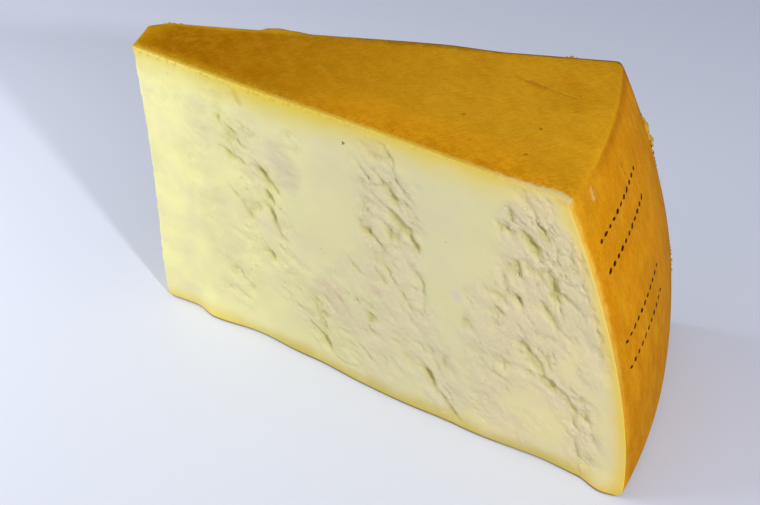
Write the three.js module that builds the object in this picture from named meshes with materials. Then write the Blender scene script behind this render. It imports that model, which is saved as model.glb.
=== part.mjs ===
// A chunk of hard cheese, cast as a display piece: one closed solid.
//
// The chunk is a thin wedge out of one half of a wheel that was split level. Its flat top and its swelling
// outer side are the wheel's rind. The two long upright faces are cuts that run towards the wheel's axis,
// and the thin end, where they would have met, is broken off short.
//
// Millimetres, +Z up. The front cut faces -Y, the rind is at +X and the blunt tip at -X. The origin is under
// the middle of the chunk, on the flat face that it stands on.

import * as THREE from 'three';
import { mergeVertices } from 'three/addons/utils/BufferGeometryUtils.js';

// The wheel that the wedge comes from.
const HEIGHT = 105.2; // from the face it stands on to the top rind
const BASE_RADIUS = 214.7; // wheel axis to the outer side at the base, its widest place
const SIDE_SWELL = 30.5; // how much less the top's radius is
const SIDE_CURVE = 1.73; // 1 is a straight cone, more is a fuller barrel
const WEDGE_ANGLE = THREE.MathUtils.degToRad(22.1);

// The blunt tip, as distances from the wheel's axis.
const TIP_RADIUS = 38.4; // at the middle of the broken end
const TIP_FRONT_ROUND = 1.5; // extra at the corner with the front cut
const TIP_BACK_CUT = 7.2; // extra at the corner with the back cut, which is broken off
const TIP_BACK_START = 0.78; // where that break starts, as a share of the way across
const TIP_BACK_CURVE = 1.5; // 1 is a straight break, more is a hollow one
const TIP_LEAN = 2.4; // how much further out the tip stands at the base
const TIP_LEAN_HEIGHT = 42; // the height at which half of that lean is gone

// Rounded edges of the outer side.
const TOP_EDGE_ROUND = 2.4;
const BASE_EDGE_ROUND = 4.5;

// The cuts: shallow torn bands run down both of them. Distances along a cut count from the wheel's axis.
const BAND_DEPTH = 1.3;
const BAND_WIDTH = 22;
const BAND_SLANT = 0.3; // bands drift towards the rind as they go down
const BAND_PATCHES = 0.35; // share of the depth that comes and goes down a band
const BAND_PATCH_HEIGHT = 9;
const FRONT_BANDS = [88, 138, 182]; // where they cross mid height
const BACK_BANDS = [76, 120, 170];

// Slow waves of the whole cut. They are gone near the top, where the rind keeps the edge straight.
const CUT_SWAY = 0.5;
const CUT_SWAY_ALONG = 19;
const CUT_SWAY_UP = 31;
const TOP_CALM = 8;

// How far each cut's lower edge wanders out, as [along, out], fading out upwards.
const FRONT_FOOT = [
  [38, 0], [51, -0.8], [60, 1.6], [79, -0.4], [100, 1.3], [135, 1.2],
  [157, 1.1], [185, -0.6], [199, 0.6], [207, 2.3], [215, 0.5],
];
const BACK_FOOT = [
  [38, 0], [62, 1.4], [88, -1.8], [118, 0.9],
  [146, -1.6], [176, 1.1], [198, -1.2], [215, 0],
];
const FOOT_HEIGHT = 5;

// How far the rind stands out along the back cut's top edge, as [along, out]. The first rise is a torn lip.
const LIP = [
  [38, 0], [73.5, 0.5], [75.5, 2.1], [79, 2.6], [84, 1.6],
  [90, 0.4], [130, 1.4], [152, -0.5], [180, -1], [215, 0],
];
const LIP_HEIGHT = 3;

// The top rind is not quite level.
const TOP_SWAY = 0.3;
const TOP_SWAY_ALONG = 17;
const TOP_SWAY_ACROSS = 21;
const TOP_SWAY_FADE = 6; // more keeps the waves closer to the top

const CUT_BLEND = 0.3; // share of the wedge's width over which a cut's shape fades out

// Faces along, across and up the wedge. They crowd together near the edges.
const STEPS_ALONG = 40;
const STEPS_ACROSS = 10;
const STEPS_UP = 22;
const CROWDING = 0.72;

function crowded(t) {
  return t - (CROWDING * Math.sin(2 * Math.PI * t)) / (2 * Math.PI);
}

function sideRadius(z) {
  return BASE_RADIUS - SIDE_SWELL * (z / HEIGHT) ** SIDE_CURVE;
}

function tipRadius(across, z) {
  const beyond = Math.max(across - TIP_BACK_START, 0) / (1 - TIP_BACK_START);
  const frontCorner = TIP_FRONT_ROUND * (1 - across) ** 2;
  const backCorner = TIP_BACK_CUT * beyond ** TIP_BACK_CURVE;
  const lean = TIP_LEAN / (1 + (z / TIP_LEAN_HEIGHT) ** 3);
  return TIP_RADIUS + frontCorner + backCorner - lean;
}

// Moves a surface point, given by its depths under two faces, onto the rounded edge between them.
function roundedEdge(depthA, depthB, round) {
  const a = Math.max(round - depthA, 0);
  const b = Math.max(round - depthB, 0);
  const reach = Math.hypot(a, b);
  if (reach <= round) return [depthA, depthB];
  return [round - (a * round) / reach, round - (b * round) / reach];
}

// A smooth curve through [x, y] points in the order of x.
function through(points, x) {
  for (let i = 1; i < points.length; i++) {
    const [x0, y0] = points[i - 1];
    const [x1, y1] = points[i];
    if (x <= x1) return y0 + (y1 - y0) * THREE.MathUtils.smoothstep(x, x0, x1);
  }
  return points.at(-1)[1];
}

// How far a cut stands out from its flat plane, at a distance from the wheel's axis and a height.
function cutRelief(along, z, bands, foot) {
  let out = CUT_SWAY * Math.sin(along / CUT_SWAY_ALONG + z / CUT_SWAY_UP + bands[0]);
  for (const band of bands) {
    const offset = (along - band - BAND_SLANT * (HEIGHT / 2 - z)) / (BAND_WIDTH / 2);
    const patchy = 1 - BAND_PATCHES + BAND_PATCHES * Math.sin(z / BAND_PATCH_HEIGHT + band);
    out -= BAND_DEPTH * patchy * Math.exp(-offset * offset);
  }
  const belowTop = 1 - Math.exp(-(HEIGHT - z) / TOP_CALM);
  return out * belowTop + through(foot, along) * Math.exp(-z / FOOT_HEIGHT);
}

function lipRelief(along, z) {
  return through(LIP, along) * Math.exp(-(HEIGHT - z) / LIP_HEIGHT);
}

// Places a point of the unit cube's surface: along from tip to rind, across from front to back cut, and up.
function wedgePoint(along, across, up) {
  let z = HEIGHT * crowded(up);
  const length = sideRadius(z) - tipRadius(across, z);
  let underSide = length * (1 - crowded(along));
  let underTop = HEIGHT - z;
  [underSide, underTop] = roundedEdge(underSide, underTop, TOP_EDGE_ROUND);
  z = HEIGHT - underTop;
  [underSide, z] = roundedEdge(underSide, z, BASE_EDGE_ROUND);
  const radius = sideRadius(z) - underSide;

  const angle = WEDGE_ANGLE * across;
  const point = new THREE.Vector3(radius * Math.cos(angle), radius * Math.sin(angle), z);
  const frontShare = Math.max(0, 1 - across / CUT_BLEND);
  const backShare = Math.max(0, 1 - (1 - across) / CUT_BLEND);
  const frontOut = new THREE.Vector3(0, -1, 0);
  const backOut = new THREE.Vector3(-Math.sin(WEDGE_ANGLE), Math.cos(WEDGE_ANGLE), 0);
  point.addScaledVector(frontOut, frontShare * cutRelief(radius, z, FRONT_BANDS, FRONT_FOOT));
  point.addScaledVector(backOut, backShare * cutRelief(radius, z, BACK_BANDS, BACK_FOOT));
  point.addScaledVector(backOut, backShare * lipRelief(radius, z));

  const topShare = crowded(up) ** TOP_SWAY_FADE;
  point.z += TOP_SWAY * topShare * Math.sin(radius / TOP_SWAY_ALONG) * Math.cos(point.y / TOP_SWAY_ACROSS);
  return point;
}

function wedgeGeometry() {
  const cube = new THREE.BoxGeometry(1, 1, 1, STEPS_ALONG, STEPS_ACROSS, STEPS_UP);
  cube.deleteAttribute('normal');
  cube.deleteAttribute('uv');
  const wedge = mergeVertices(cube);
  wedge.clearGroups();
  const places = wedge.getAttribute('position');
  for (let i = 0; i < places.count; i++) {
    const point = wedgePoint(places.getX(i) + 0.5, places.getY(i) + 0.5, places.getZ(i) + 0.5);
    places.setXYZ(i, point.x, point.y, point.z);
  }
  wedge.computeBoundingBox();
  const middle = wedge.boundingBox.getCenter(new THREE.Vector3());
  wedge.translate(-middle.x, -middle.y, 0);
  wedge.computeVertexNormals();
  return wedge;
}

const paste = new THREE.MeshStandardMaterial({ color: 0xdfd3a0, roughness: 0.6, metalness: 0 });

const wedge = new THREE.Mesh(wedgeGeometry(), paste);
wedge.name = 'cheese_wedge';

const chunk = new THREE.Group();
chunk.add(wedge);

export default chunk;
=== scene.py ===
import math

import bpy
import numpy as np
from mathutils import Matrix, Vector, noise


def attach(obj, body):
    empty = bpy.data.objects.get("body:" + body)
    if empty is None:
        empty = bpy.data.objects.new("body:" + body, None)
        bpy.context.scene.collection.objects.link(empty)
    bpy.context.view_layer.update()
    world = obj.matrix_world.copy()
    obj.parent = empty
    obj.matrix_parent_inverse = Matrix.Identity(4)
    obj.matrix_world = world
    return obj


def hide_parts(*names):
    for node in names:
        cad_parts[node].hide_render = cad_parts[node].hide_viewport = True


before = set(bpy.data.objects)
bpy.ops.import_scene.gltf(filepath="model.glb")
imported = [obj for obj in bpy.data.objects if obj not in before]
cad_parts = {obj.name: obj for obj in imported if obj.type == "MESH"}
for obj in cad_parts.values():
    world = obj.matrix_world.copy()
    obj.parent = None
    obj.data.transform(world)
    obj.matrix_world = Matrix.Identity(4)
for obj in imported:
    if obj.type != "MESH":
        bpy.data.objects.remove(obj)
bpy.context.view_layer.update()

# %% [markdown]
# # A display chunk of hard cheese
#
# The piece is a wedge out of a wheel of hard, grainy cheese, cast in rigid foam and painted by hand for a
# shop window. It is one solid: two long cut faces, a blunt broken tip, and a brushed golden rind on top
# and round the outside. All of its character is on the surface, so this scene grows a fine mesh over the
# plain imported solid.
#
# Every length below is in millimetres in the wheel's own frame: the axis is the wheel's middle, the front
# cut lies in the plane y = 0, and z is the height above the table. One helper turns that into the part's
# metres.

MM = 0.001
WHEEL_AXIS = np.array([-124.519, -39.479, 0.0])  # where the wheel's middle stands in the part's frame


def to_part(points):
    """Wheel millimetres to the part's metres."""
    return (np.asarray(points, float) + WHEEL_AXIS) * MM


def round_axis(radius, angle, z):
    """Points at a radius and an angle round the wheel's axis, and at a height."""
    radius, angle, z = np.broadcast_arrays(radius, angle, z)
    return np.stack([radius * np.cos(angle), radius * np.sin(angle), z], axis=1)


def show_range(name, values):
    print(f"{name}: {np.min(values):.2f} to {np.max(values):.2f}")


TRIAL = np.arange(45.0, 195.0)  # a row of places along a cut, on which rules are tried out

# %% [markdown]
# ## The wedge as a rule
#
# A real wedge is bounded by six surfaces, and each one has a simple rule: the rind side is a swelling
# barrel, the tip is a broken curve near the axis, and the cuts are two planes that fan out from the axis.
# Blender could start from a cube and sculpt it, but then nothing could be measured. Here a point of a
# unit box (how far along, across and up) is placed by those rules instead, so the same rule serves the
# paste and the rind.

# %% Sizes of the wedge
HEIGHT = 105.0
BASE_RADIUS = 214.5  # of the rind at the table, the wheel's widest place
SIDE_SWELL = 30.5  # how much less the top's radius is
SIDE_CURVE = 1.73
WEDGE_ANGLE = math.radians(22.1)

TIP_RADIUS = 38.5
TIP_FRONT_ROUND = 1.5
TIP_BACK_CUT = 7.2  # how far the back corner is broken off
TIP_BACK_START = 0.78
TIP_LEAN = 2.4
TIP_LEAN_HEIGHT = 42.0

# How far each pair of faces is rounded off where they meet.
EDGE_ROUNDS = [
    ("side", "top", 2.4), ("side", "base", 4.5),
    ("front", "top", 0.6), ("back", "top", 0.6),
    ("front", "side", 0.7), ("back", "side", 0.7),
    ("tip", "top", 0.8), ("front", "tip", 1.1), ("back", "tip", 1.1),
    ("front", "base", 0.7), ("back", "base", 0.7), ("tip", "base", 5.0),
]


def side_radius(z):
    return BASE_RADIUS - SIDE_SWELL * (np.clip(z, 0, HEIGHT) / HEIGHT) ** SIDE_CURVE


def tip_radius(across, z):
    beyond = np.maximum(across - TIP_BACK_START, 0) / (1 - TIP_BACK_START)
    corners = TIP_FRONT_ROUND * (1 - across) ** 2 + TIP_BACK_CUT * beyond**1.5
    return TIP_RADIUS + corners - TIP_LEAN / (1 + (z / TIP_LEAN_HEIGHT) ** 3)


def smooth(low, high, value):
    """0 below low, 1 above high, and an even S between them."""
    t = np.clip((value - low) / (high - low), 0, 1)
    return t * t * (3 - 2 * t)


def spread(t, crowding):
    """Moves even steps towards both ends, where edges need them."""
    return t - crowding * np.sin(2 * np.pi * t) / (2 * np.pi)


print(f"rind radius {side_radius(0.0):.1f} mm at the table, {side_radius(HEIGHT):.1f} mm at the top")


# %% Rounded edges between two faces
def soften(depth_a, depth_b, radius):
    """Moves surface points, given by their depths under two faces, onto the rounded edge between them."""
    a, b = np.maximum(radius - depth_a, 0), np.maximum(radius - depth_b, 0)
    reach = np.maximum(np.hypot(a, b), 1e-9)
    over = reach > radius
    return (np.where(over, radius - a * radius / reach, depth_a),
            np.where(over, radius - b * radius / reach, depth_b))


def wedge_places(along, across, up, sunk):
    """Radius, share across and height of unit box points, which sunk pushes in under top, side and base."""
    z = HEIGHT * up
    tip, side = tip_radius(across, z), side_radius(z)
    width = WEDGE_ANGLE * (tip + (side - tip) * along)
    depth = {"tip": (side - tip) * along, "side": (side - tip) * (1 - along),
             "front": width * across, "back": width * (1 - across),
             "base": z, "top": HEIGHT - z}
    for first, second, radius in EDGE_ROUNDS:
        depth[first], depth[second] = soften(depth[first], depth[second], radius)
    for face in ("side", "top", "base"):
        depth[face] = np.maximum(depth[face], sunk)
    z = HEIGHT * depth["base"] / (depth["base"] + depth["top"])
    across = depth["front"] / (depth["front"] + depth["back"])
    tip, side = tip_radius(across, z), side_radius(z)
    radius = tip + (side - tip) * depth["tip"] / (depth["tip"] + depth["side"])
    return radius, across, z


print(f"front edge of the tip, from the axis: {wedge_places(0.0, 0.0, 0.5, 0.0)[0]:.1f} mm")


# %% [markdown]
# ## How the cut is torn
#
# Hard cheese is split, not sliced. The blade only starts the crack, and where the grain is tough the
# paste tears into bands of crumbs, pits and little cliffs, with calm stretches between them. One way is
# to sculpt this by hand, another is a noise texture all over. Neither is right alone: noise has no story,
# and sculpting can't be rerun. So the cut is built in layers: slow waves, then bands that say where it is
# torn, then grains inside the bands, and last a list of ledges, each a stroke with a cliff on one side.

# %% Slow waves, and the wandering foot of each cut
SWAY = 0.5
SWAY_ALONG, SWAY_UP = 19, 31  # millimetres for each radian of the waves
BAND_BEAT = 9  # the same for the bands, whose depth changes on the way up
BAND_DEPTH = 1.3
BAND_WIDTH = 22.0
BAND_SLANT = 0.3
CUT_BLEND = 0.3  # share of the width over which a cut's shape fades out towards the other cut
FOOT_HEIGHT = 5.0
TOP_CALM = 8.0  # the waves are gone this near the top rind, which keeps the edge straight

FRONT = {
    "bands": [88, 138, 182],
    "foot": [[38, 0], [51, -0.8], [60, 1.6], [79, -0.4], [100, 1.3], [135, 1.2], [157, 1.1],
             [185, -0.6], [199, 0.6], [207, 2.3], [215, 0.5]],
}
BACK = {
    "bands": [76, 120, 170],
    "foot": [[38, 0], [62, 1.4], [88, -1.8], [118, 0.9], [146, -1.6], [176, 1.1], [198, -1.2], [215, 0]],
}


def through(points, x):
    """A smooth curve through [x, y] points in the order of x."""
    y = np.full(np.shape(x), float(points[-1][1]))
    for (x0, y0), (x1, y1) in reversed(list(zip(points, points[1:]))):
        y = np.where(x <= x1, y0 + (y1 - y0) * smooth(x0, x1, x), y)
    return y


def slow_relief(along, z, cut):
    """The cut's large shape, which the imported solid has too."""
    out = SWAY * np.sin(along / SWAY_ALONG + z / SWAY_UP + cut["bands"][0])
    for band in cut["bands"]:
        offset = (along - band - BAND_SLANT * (HEIGHT / 2 - z)) / (BAND_WIDTH / 2)
        out = out - BAND_DEPTH * (0.65 + 0.35 * np.sin(z / BAND_BEAT + band)) * np.exp(-offset * offset)
    straight = 1 - np.exp(-(HEIGHT - z) / TOP_CALM)
    return out * straight + through(cut["foot"], along) * np.exp(-z / FOOT_HEIGHT)


show_range("slow relief of the front cut half way up, mm", slow_relief(TRIAL, HEIGHT / 2, FRONT))


# %% Where the paste is torn: chains of soft discs, as (along, height, radius, strength)
FRONT["torn"] = [
    [(52, 92, 10, 0.35), (60, 84, 9, 0.4), (58, 70, 9, 0.35), (62, 56, 9, 0.35), (64, 38, 8, 0.35)],
    [(68, 95, 7, 0.4), (76, 84, 10, 0.7), (84, 70, 13, 0.8), (86, 54, 14, 0.75), (82, 44, 12, 0.5)],
    [(74, 32, 8, 0.6), (73, 18, 8, 0.6)],
    [(88, 42, 11, 0.45), (98, 26, 9, 0.7), (108, 11, 9, 0.8)],
    [(94, 88, 7, 0.6), (95, 76, 5, 0.7)],
    [(127, 100, 8, 0.6), (127, 88, 11, 0.9), (131, 72, 13, 1.0), (132, 56, 14, 0.9), (138, 46, 12, 0.7)],
    [(127, 48, 16, 0.7), (113, 38, 12, 0.45)],
    [(143, 28, 9, 0.5), (153, 11, 10, 0.8)],
    [(174, 99, 9, 0.8), (178, 84, 14, 1.0), (177, 66, 16, 1.0), (176, 48, 15, 0.9)],
    [(178, 38, 9, 0.8), (165, 29, 11, 0.6), (156, 26, 8, 0.4)],
    [(184, 38, 7, 0.8), (196, 28, 8, 0.8), (200, 10, 6, 0.6)],
    [(80, 62, 8, 0.7), (84, 46, 9, 0.8), (98, 36, 11, 0.7), (112, 30, 14, 0.8), (128, 32, 11, 0.7),
     (140, 38, 10, 0.7)],
    [(118, 12, 9, 0.4), (140, 18, 11, 0.5), (150, 26, 8, 0.5)],
    [(162, 60, 7, 0.7), (162, 46, 8, 0.6), (166, 16, 11, 0.6), (178, 12, 9, 0.4)],
    [(187, 92, 7, 0.9), (190, 78, 7, 1.0), (194, 62, 7, 0.8), (199, 46, 6, 0.5)],
]
BACK["torn"] = [
    [(70, 96, 8, 0.5), (75, 76, 10, 0.9), (80, 54, 11, 0.8), (84, 30, 10, 0.6), (92, 12, 9, 0.7)],
    [(112, 94, 9, 0.7), (118, 74, 12, 1.0), (124, 50, 12, 0.9), (128, 26, 11, 0.6), (124, 10, 8, 0.4)],
    [(160, 98, 8, 0.5), (166, 78, 13, 1.0), (172, 56, 14, 1.0), (176, 32, 13, 0.8), (188, 14, 9, 0.6)],
    [(88, 44, 9, 0.6), (102, 34, 11, 0.7), (116, 34, 9, 0.6)],
    [(132, 44, 9, 0.5), (146, 36, 11, 0.7), (162, 32, 9, 0.6)],
    [(184, 84, 8, 0.7), (190, 66, 9, 0.8), (196, 44, 7, 0.6)],
    [(92, 88, 6, 0.5), (96, 74, 6, 0.5)],
    [(140, 88, 6, 0.4), (144, 70, 8, 0.5)],
]


def torn_share(along, z, chains):
    """0 on calm paste, up to 1 in the middle of a torn band."""
    torn = np.zeros(np.shape(along))
    for chain in chains:
        for (x0, z0, r0, s0), (x1, z1, r1, s1) in zip(chain, chain[1:]):
            dx, dz = x1 - x0, z1 - z0
            t = np.clip(((along - x0) * dx + (z - z0) * dz) / (dx * dx + dz * dz), 0, 1)
            distance = np.hypot(along - x0 - t * dx, z - z0 - t * dz)
            radius, strength = r0 + t * (r1 - r0), s0 + t * (s1 - s0)
            torn = np.maximum(torn, strength * (1 - smooth(0.45 * radius, 1.15 * radius, distance)))
    return torn


print(len(FRONT["torn"]), "torn chains on the front cut,", len(BACK["torn"]), "on the back cut")

# %% Noise that is the same on every run
ROUGH_FALL = 0.75  # how fast small features lose height
ROUGH_STEP = 2.1  # how much smaller each next layer of features is
ROUGH_OCTAVES = 4


def at_each(rule, x, y, size, layer):
    """A rule of one place, at each point of a flat pattern whose features have that size in millimetres."""
    return np.array([rule((a, b, layer)) for a, b in zip(np.ravel(x) / size, np.ravel(y) / size)])


def gradient_noise(x, y, size, layer=0.0):
    """Smooth noise from -1 to 1."""
    return at_each(noise.noise, x, y, size, layer)


def rough_noise(x, y, size, layer):
    """Like gradient_noise, with ever smaller features on top of the first ones."""
    def layered(place):
        return noise.fractal(place, ROUGH_FALL, ROUGH_STEP, ROUGH_OCTAVES)

    return at_each(layered, x, y, size, layer)


def waves(x, y, layers):
    """Layers of smooth noise on top of each other, each given as (height, size, layer)."""
    return sum(height * gradient_noise(x, y, size, layer) for height, size, layer in layers)


def one_grain(place):
    """How far a place is into its grain, and the grain's own number."""
    distances, centres = noise.voronoi(place)
    return distances[1] - distances[0], noise.cell(centres[0] * 7.3)


def grains(x, y, size, layer):
    """The same for each point of a pattern. It is 0 on the border between two grains."""
    return at_each(one_grain, x, y, size, layer).T


show_range("noise", gradient_noise(TRIAL, 0 * TRIAL, 7))

# %% [markdown]
# ### Ledges
#
# Each ledge is a stroke over the cut. On the right of the stroke's direction the paste has broken away:
# the surface drops at once and climbs back slowly. With low light from the rind side, a stroke drawn
# downwards or to the right shows as a shadow, and one drawn upwards shows as a bright edge.

# %% Ledges of the front cut: (depth, how far the hollow reaches, the stroke's points)
FRONT["ledges"] = [
    # first band, from the top down
    (0.7, 3.0, [(70, 91), (73, 88.5), (77, 84), (80.5, 80)]),
    (1.0, 2.6, [(80, 79.5), (86, 75), (93, 67.5)]),
    (0.7, 1.8, [(80.5, 77.5), (85, 73.5), (90, 69)]),
    (0.6, 1.6, [(79.5, 75), (83, 71.5), (87.5, 69)]),
    (0.8, 2.6, [(70.5, 79), (75, 76.5), (79.5, 75)]),
    (0.5, 1.2, [(87, 59), (83.5, 61.5), (80.5, 66.5)]),
    (0.5, 1.4, [(72.5, 66), (74, 62), (77, 58.5)]),
    (0.5, 1.4, [(78, 57), (81, 52), (82.5, 48)]),
    (0.5, 1.6, [(70, 91), (72, 86), (73.5, 84)]),
    (1.0, 3.4, [(88, 67), (89.3, 60), (90.5, 55), (92.8, 49.5)]),
    (0.6, 1.8, [(90, 47.5), (92.5, 45), (94, 43)]),
    (0.5, 2.2, [(70, 48), (75, 45.5), (80, 42)]),
    (0.6, 1.6, [(71, 28.5), (74, 26), (75.5, 23)]),
    (0.5, 1.4, [(70.5, 20), (73, 18), (75.5, 17)]),
    (0.7, 1.8, [(95, 25), (97, 22.5), (99.5, 20.5)]),
    (1.2, 3.2, [(99.5, 17.5), (103, 15), (107, 12.5), (110.5, 6)]),
    (0.5, 2.0, [(110, 6.5), (115, 5.8), (120, 7.5)]),
    (0.5, 1.6, [(113, 14), (117, 11.5), (120, 9)]),
    (0.5, 1.8, [(77.5, 101.5), (78.5, 99), (80, 97.5)]),
    # the pitted patch beside it
    (0.5, 1.2, [(92.5, 86.5), (94.5, 85.8), (96, 84)]),
    (0.6, 1.2, [(93, 80), (94.8, 78), (95, 75.5)]),
    # second band
    (1.0, 3.0, [(129.5, 102), (132.5, 95), (134.2, 87.5)]),
    (1.7, 4.4, [(128.5, 88.5), (131.5, 86), (133.8, 82.5), (133, 79.5)]),
    (0.5, 1.4, [(135.5, 83.5), (137, 82.5), (138, 80.5)]),
    (1.3, 3.2, [(130.5, 79.5), (134, 76.5), (138, 73), (142.5, 67)]),
    (0.8, 2.0, [(130, 77), (133.5, 74), (138, 70.5)]),
    (0.8, 2.0, [(141.5, 70), (141, 66), (140.5, 62)]),
    (0.7, 1.4, [(124, 73.8), (127.5, 73.6), (131, 72)]),
    (0.7, 1.6, [(131.2, 72), (131, 66), (130.6, 62)]),
    (0.6, 2.0, [(123.5, 68.5), (128, 65), (130.5, 61.5)]),
    (0.8, 2.0, [(119, 94.5), (123.5, 89), (126.5, 83)]),
    (0.6, 1.4, [(122.5, 95), (126, 91), (128.5, 87.5)]),
    (0.5, 1.2, [(122, 84), (126, 81.5), (130, 79)]),
    (0.5, 1.2, [(123, 79.5), (126, 78), (130, 76.5)]),
    (0.5, 1.2, [(122.5, 76), (126, 75), (130, 73.5)]),
    (0.5, 1.4, [(125, 70), (127.5, 66), (129.5, 60)]),
    (0.8, 1.6, [(138.5, 53.5), (140.5, 52), (141.5, 49)]),
    (0.4, 1.4, [(131, 60), (134.5, 57), (138, 55.5)]),
    (0.4, 1.4, [(126, 56), (128.5, 52), (130, 48.5)]),
    (0.5, 1.4, [(138, 48), (139.5, 44), (140, 40)]),
    (0.8, 3.4, [(140, 61), (143, 56), (144.6, 50), (144.2, 41.5)]),
    (0.4, 2.0, [(120.5, 41), (120.8, 36), (120, 31)]),
    (0.5, 1.4, [(141, 30), (143, 28.5), (146, 25.5)]),
    (1.4, 4.0, [(146.5, 19), (149.5, 13), (153.5, 8.8), (159.5, 2.5)]),
    (0.6, 1.8, [(149.5, 16.5), (152, 14), (155, 11.5)]),
    # third band
    (0.9, 3.6, [(172.5, 102), (176, 97), (178.5, 92), (181.5, 86)]),
    (1.8, 1.8, [(167.5, 96.5), (169.6, 93.5), (170.4, 90)]),
    (1.8, 3.0, [(171, 89.6), (175, 87), (178, 84.5), (179.5, 79.5)]),
    (0.5, 1.2, [(167.5, 88.2), (169, 87), (169.5, 86)]),
    (2.0, 1.6, [(171.5, 77.5), (172.8, 74.5), (172.8, 71)]),
    (1.8, 3.4, [(180.5, 79.5), (184, 76), (185.5, 71.5), (185.5, 67)]),
    (0.9, 2.2, [(185.2, 72.5), (189, 71), (193, 69)]),
    (0.6, 1.8, [(184, 77), (188.5, 77), (191.5, 79)]),
    (0.6, 2.0, [(186, 69), (187.5, 63), (187.5, 57)]),
    (0.6, 1.6, [(188, 59), (190, 57.5), (192, 55)]),
    (0.9, 1.8, [(164.5, 63.5), (167, 62.8), (169.5, 61)]),
    (1.0, 2.0, [(172.5, 65), (174.5, 62), (175.5, 58.5)]),
    (1.0, 2.0, [(180.5, 66), (182.5, 63), (185, 59.5)]),
    (0.8, 1.6, [(177, 59.5), (178.8, 57), (178.5, 54)]),
    (0.8, 1.6, [(165.5, 58.5), (168, 57.5), (171, 55.5)]),
    (1.3, 3.2, [(175, 50), (178, 47), (182, 43), (186.5, 36)]),
    (0.8, 2.2, [(178, 51), (181.5, 49), (184, 45), (186.8, 39)]),
    (0.4, 1.4, [(161, 44), (163, 42.5), (164.5, 40.5)]),
    (1.1, 3.2, [(173, 39), (179, 37.5), (187, 36.2), (192.5, 33), (195.5, 27), (197.8, 16)]),
    (0.8, 3.0, [(196.5, 35), (199, 30), (200.5, 24)]),
    (0.7, 3.0, [(197, 17), (198.5, 9), (200.5, 0.5)]),
    (0.7, 1.6, [(163.5, 31.5), (169, 30.8), (174.5, 29.5)]),
    (0.6, 1.4, [(165, 35.5), (170, 36.5), (175, 37.8)]),
    (0.5, 1.4, [(166.5, 24.5), (169, 23), (171.5, 22)]),
    (0.5, 1.2, [(193.5, 17.5), (195.5, 16), (197, 15.5)]),
]
print(len(FRONT["ledges"]), "ledges drawn on the front cut")

# %% Ledges that are dealt out: all of the back cut's, and small ones low on the front
BACK_LEDGES, BACK_DEEPEST = 72, 1.5
LOW_LEDGES, LOW_DEEPEST = 22, 0.8
LOW_CHAINS = slice(11, 13)  # of the front's torn chains
SHALLOWEST = 0.33  # as a share of the deepest
UPWARD_SHARE = 0.25
DEALT_SLOPE, SLOPE_SPREAD = -0.95, 0.4  # in radians, so most strokes run down
DEALT_LENGTH, DEALT_REACH = (4, 15), (1.4, 4.2)
BEND = 0.12  # how far the middle point leaves the line, as a share of the length


def deal_ledges(dealer, chains, count, deepest):
    """Strokes of three points inside the torn bands, mostly running down and towards the rind."""
    ledges = []
    for number in range(count):
        chain = chains[number % len(chains)]
        link = dealer.uniform(0, len(chain) - 1.001)
        x, z, reach, _ = [np.interp(link, range(len(chain)), [disc[k] for disc in chain]) for k in range(4)]
        x, z = x + dealer.uniform(-0.8, 0.8) * reach, z + dealer.uniform(-4, 4)
        slope, length = dealer.normal(DEALT_SLOPE, SLOPE_SPREAD), dealer.uniform(*DEALT_LENGTH)
        step = 0.5 * length * np.array([math.cos(slope), math.sin(slope)])
        bend = dealer.uniform(-BEND, BEND) * length
        stroke = [(x - step[0], z - step[1]), (x + bend, z + bend), (x + step[0], z + step[1])]
        if dealer.random() < UPWARD_SHARE:
            stroke.reverse()
        ledges.append((dealer.uniform(SHALLOWEST, 1) * deepest, dealer.uniform(*DEALT_REACH), stroke))
    return ledges


BACK["ledges"] = deal_ledges(np.random.default_rng(41), BACK["torn"], BACK_LEDGES, BACK_DEEPEST)
FRONT["ledges"] += deal_ledges(np.random.default_rng(7), FRONT["torn"][LOW_CHAINS], LOW_LEDGES, LOW_DEEPEST)
print(len(FRONT["ledges"]), "ledges on the front cut,", len(BACK["ledges"]), "on the back cut")

# %% The cliff and hollow of one ledge
LEDGE_SCALE = 0.98
CLIFF_WIDTH = 1.0  # of a shallow ledge
CLIFF_GROWTH = 1.6  # how much wider it is for each millimetre of depth
LIP_SHARE = 0.16  # how high the intact side stands up, as a share of the depth
LIP_WIDTH = 1.3


def ledge_relief(x, z, depth, reach, stroke):
    """What one ledge adds to the cut, at most zero on its low side."""
    points = np.array(stroke, float)
    lengths = np.hypot(*np.diff(points, axis=0).T)
    nearest = np.full(x.shape, np.inf)
    low_side, run = np.zeros(x.shape), np.zeros(x.shape)
    for k, length in enumerate(lengths):
        (x0, z0), (x1, z1) = points[k], points[k + 1]
        ux, uz = (x1 - x0) / length, (z1 - z0) / length
        t = np.clip((x - x0) * ux + (z - z0) * uz, 0, length)
        dx, dz = x - x0 - t * ux, z - z0 - t * uz
        distance = np.hypot(dx, dz)
        closer = distance < nearest
        nearest = np.where(closer, distance, nearest)
        low_side = np.where(closer, np.sign(dx * uz - dz * ux), low_side)
        run = np.where(closer, (lengths[:k].sum() + t) / lengths.sum(), run)
    into = nearest * low_side
    taper = np.sqrt(np.clip(4 * run * (1 - run), 0, 1))
    cliff = CLIFF_WIDTH + CLIFF_GROWTH * depth
    hollow = smooth(-0.35 * cliff, 0.65 * cliff, into) * (1 - smooth(0, reach + 0.5 * cliff, into))
    lip = LIP_SHARE * np.exp(-((np.minimum(into, 0) / LIP_WIDTH) ** 2)) * (into < 0)
    return depth * taper * (lip - hollow)


trial_ledge = ledge_relief(TRIAL - TRIAL.mean(), 0 * TRIAL, 1.0, 2.5, [(0, 5), (0, -5)])
show_range("across a ledge of depth 1, mm", trial_ledge)


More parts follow.
